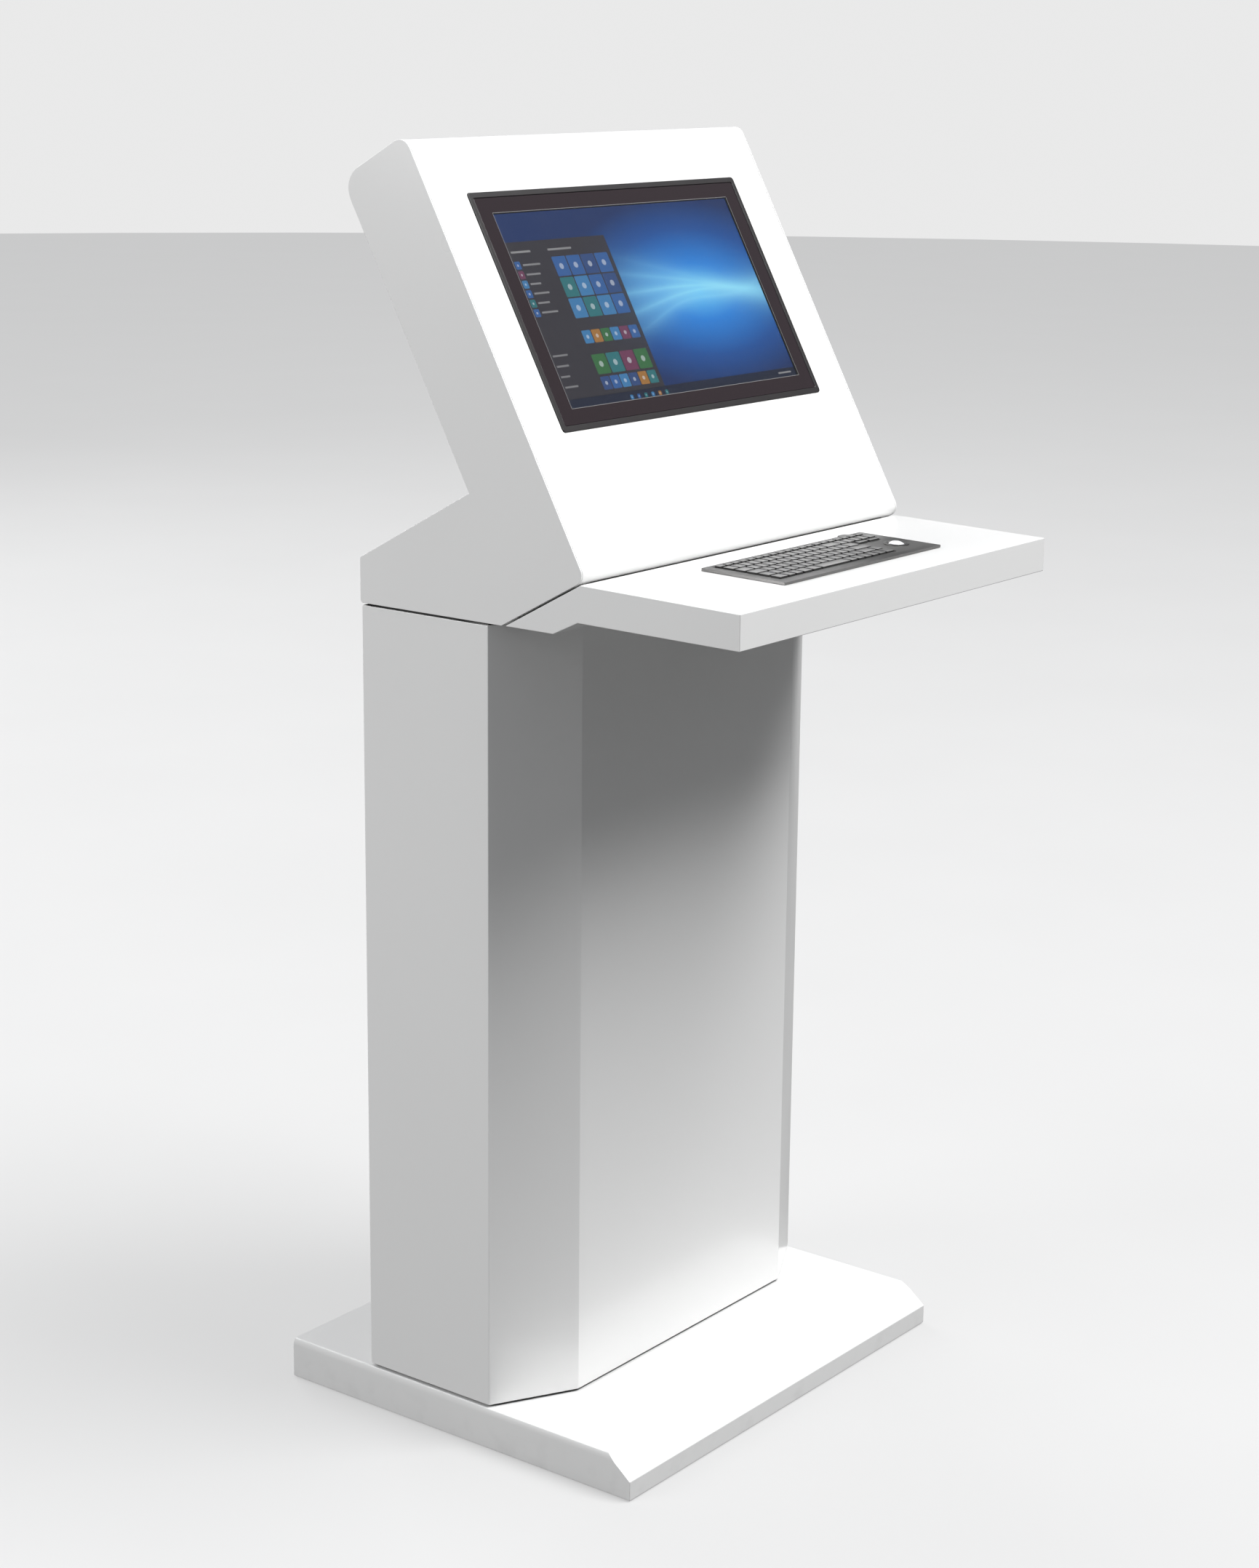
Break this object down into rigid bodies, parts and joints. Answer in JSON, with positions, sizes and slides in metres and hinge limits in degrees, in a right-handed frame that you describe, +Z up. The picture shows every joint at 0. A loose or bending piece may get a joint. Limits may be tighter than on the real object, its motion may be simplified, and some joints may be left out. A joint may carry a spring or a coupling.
{
  "type": "touchscreen kiosk",
  "caption": "Free-standing touchscreen kiosk: floor stand, six-sided column, leaning display head, keyboard desk with trackball, and a lockable rear service door.",
  "frame": {"origin": "on the floor, under the centre of the kiosk's overall plan", "axes": "+Z up, -Y towards the user at the front, +X to the right of somebody facing the front"},
  "size_m": [0.622, 0.6514, 1.5008],
  "materials": {
    "white_paint": "semi-gloss powder coat",
    "black_paint": "matt powder coat",
    "black_trim": "satin black anodised look",
    "touch_glass": "polished, black rim printed on the back",
    "display": null,
    "key_steel": "bead-blasted stainless steel",
    "plate_steel": "fine brushed stainless steel",
    "bright_steel": "nickel plated",
    "zinc_steel": "zinc plated sheet",
    "computer_casing": "black anodised",
    "black_plastic": "fine moulded grain",
    "ball_resin": "polished",
    "circuit_board": "solder resist",
    "black_rubber": "matt",
    "cable_sheath": "matt extruded sheath"
  },
  "bodies": {
    "kiosk": {"base_cover": "white_paint", "base_ballast_plate": "black_paint", "floor_pad_front_left": "black_rubber", "floor_pad_front_right": "black_rubber", "floor_pad_rear_left": "black_rubber", "floor_pad_rear_right": "black_rubber", "column_shell": "white_paint", "column_foot_flange": "black_paint", "column_neck_plate": "black_paint", "column_rear_panel": "white_paint", "column_hinge_frame_leaf": "zinc_steel", "equipment_shelf": "zinc_steel", "computer": "computer_casing", "power_strip": "black_plastic", "mains_inlet": "black_plastic", "fan_frame": "black_plastic", "head_left_side": "white_paint", "head_right_side": "white_paint", "head_front_shell": "white_paint", "head_rear_cover": "white_paint", "head_cover_screw_1": "bright_steel", "head_cover_screw_2": "bright_steel", "head_cover_screw_3": "bright_steel", "head_cover_screw_4": "bright_steel", "head_neck_cover": "white_paint", "screen_bezel": "black_trim", "touch_glass": "touch_glass", "lcd_panel": "display", "display_chassis": "zinc_steel", "display_bracket_left": "zinc_steel", "display_bracket_right": "zinc_steel", "tray_shell": "white_paint", "tray_bottom_cover": "white_paint", "tray_mount_gasket": "black_rubber", "keyboard_plate": "plate_steel", "keyboard_case": "zinc_steel", "keyboard_circuit_board": "circuit_board", "trackball_socket": "black_plastic", "trackball_ring": "plate_steel", "mains_lead": "cable_sheath", "display_cable": "cable_sheath", "keyboard_cable": "cable_sheath"},
    "rear_door": {"column_rear_door": "white_paint", "column_hinge_door_leaf": "zinc_steel", "column_lock_body": "bright_steel"},
    "lock_barrel": {"column_lock_plug": "bright_steel", "column_lock_cam": "zinc_steel"},
    "mains_rocker": {"mains_switch": "black_plastic"},
    "fan_wheel": {"fan_rotor": "black_plastic"},
    "computer_button": {"computer_power_button": "bright_steel"},
    "function_keys": {"function_key_row": "key_steel"},
    "number_keys": {"number_key_row": "key_steel"},
    "upper_letter_keys": {"upper_letter_key_row": "key_steel"},
    "home_letter_keys": {"home_letter_key_row": "key_steel"},
    "lower_letter_keys": {"lower_letter_key_row": "key_steel"},
    "bottom_keys": {"bottom_key_row": "key_steel"},
    "space_key": {"space_bar": "key_steel"},
    "left_mouse_key": {"mouse_button_left": "key_steel"},
    "right_mouse_key": {"mouse_button_right": "key_steel"},
    "track_ball": {"trackball": "ball_resin"}
  },
  "joints": [
    {"name": "rear_door_hinge", "type": "hinge", "parent": "kiosk", "child": "rear_door", "pos_m": [0.2847, 0.20355, 0.566], "axis": [0, 0, -1], "range_deg": [0, 110]},
    {"name": "lock_turn", "type": "hinge", "parent": "rear_door", "child": "lock_barrel", "pos_m": [-0.262, 0.20005, 0.566], "axis": [0, 1, 0], "range_deg": [0, 90]},
    {"name": "mains_rocker_tilt", "type": "hinge", "parent": "kiosk", "child": "mains_rocker", "pos_m": [-0.196, 0.19805, 0.103], "axis": [1, 0, 0], "range_deg": [0, 16]},
    {"name": "fan_spin", "type": "hinge", "parent": "kiosk", "child": "fan_wheel", "pos_m": [0.18, 0.18525, 0.103], "axis": [0, 1, 0], "continuous": true},
    {"name": "computer_button_press", "type": "slide", "parent": "kiosk", "child": "computer_button", "axis": [0, -1, 0], "range_m": [0, 0.0015], "stiffness_N_per_m": 400, "springref_m": -0.003},
    {"name": "function_keys_press", "type": "slide", "parent": "kiosk", "child": "function_keys", "axis": [0, 0.024, -0.9997], "range_m": [0, 0.0015], "stiffness_N_per_m": 3000, "springref_m": -0.003},
    {"name": "number_keys_press", "type": "slide", "parent": "kiosk", "child": "number_keys", "axis": [0, 0.024, -0.9997], "range_m": [0, 0.0015], "stiffness_N_per_m": 3000, "springref_m": -0.003},
    {"name": "upper_letter_keys_press", "type": "slide", "parent": "kiosk", "child": "upper_letter_keys", "axis": [0, 0.024, -0.9997], "range_m": [0, 0.0015], "stiffness_N_per_m": 3000, "springref_m": -0.003},
    {"name": "home_letter_keys_press", "type": "slide", "parent": "kiosk", "child": "home_letter_keys", "axis": [0, 0.024, -0.9997], "range_m": [0, 0.0015], "stiffness_N_per_m": 3000, "springref_m": -0.003},
    {"name": "lower_letter_keys_press", "type": "slide", "parent": "kiosk", "child": "lower_letter_keys", "axis": [0, 0.024, -0.9997], "range_m": [0, 0.0015], "stiffness_N_per_m": 3000, "springref_m": -0.003},
    {"name": "bottom_keys_press", "type": "slide", "parent": "kiosk", "child": "bottom_keys", "axis": [0, 0.024, -0.9997], "range_m": [0, 0.0015], "stiffness_N_per_m": 3000, "springref_m": -0.003},
    {"name": "space_key_press", "type": "slide", "parent": "kiosk", "child": "space_key", "axis": [0, 0.024, -0.9997], "range_m": [0, 0.0015], "stiffness_N_per_m": 600, "springref_m": -0.003},
    {"name": "left_mouse_key_press", "type": "slide", "parent": "kiosk", "child": "left_mouse_key", "axis": [0, 0.024, -0.9997], "range_m": [0, 0.0008], "stiffness_N_per_m": 500, "springref_m": -0.003},
    {"name": "right_mouse_key_press", "type": "slide", "parent": "kiosk", "child": "right_mouse_key", "axis": [0, 0.024, -0.9997], "range_m": [0, 0.0008], "stiffness_N_per_m": 500, "springref_m": -0.003},
    {"name": "trackball_roll", "type": "hinge", "parent": "kiosk", "child": "track_ball", "pos_m": [0.131, -0.23203, 1.03485], "axis": [1, 0, 0], "continuous": true}
  ]
}
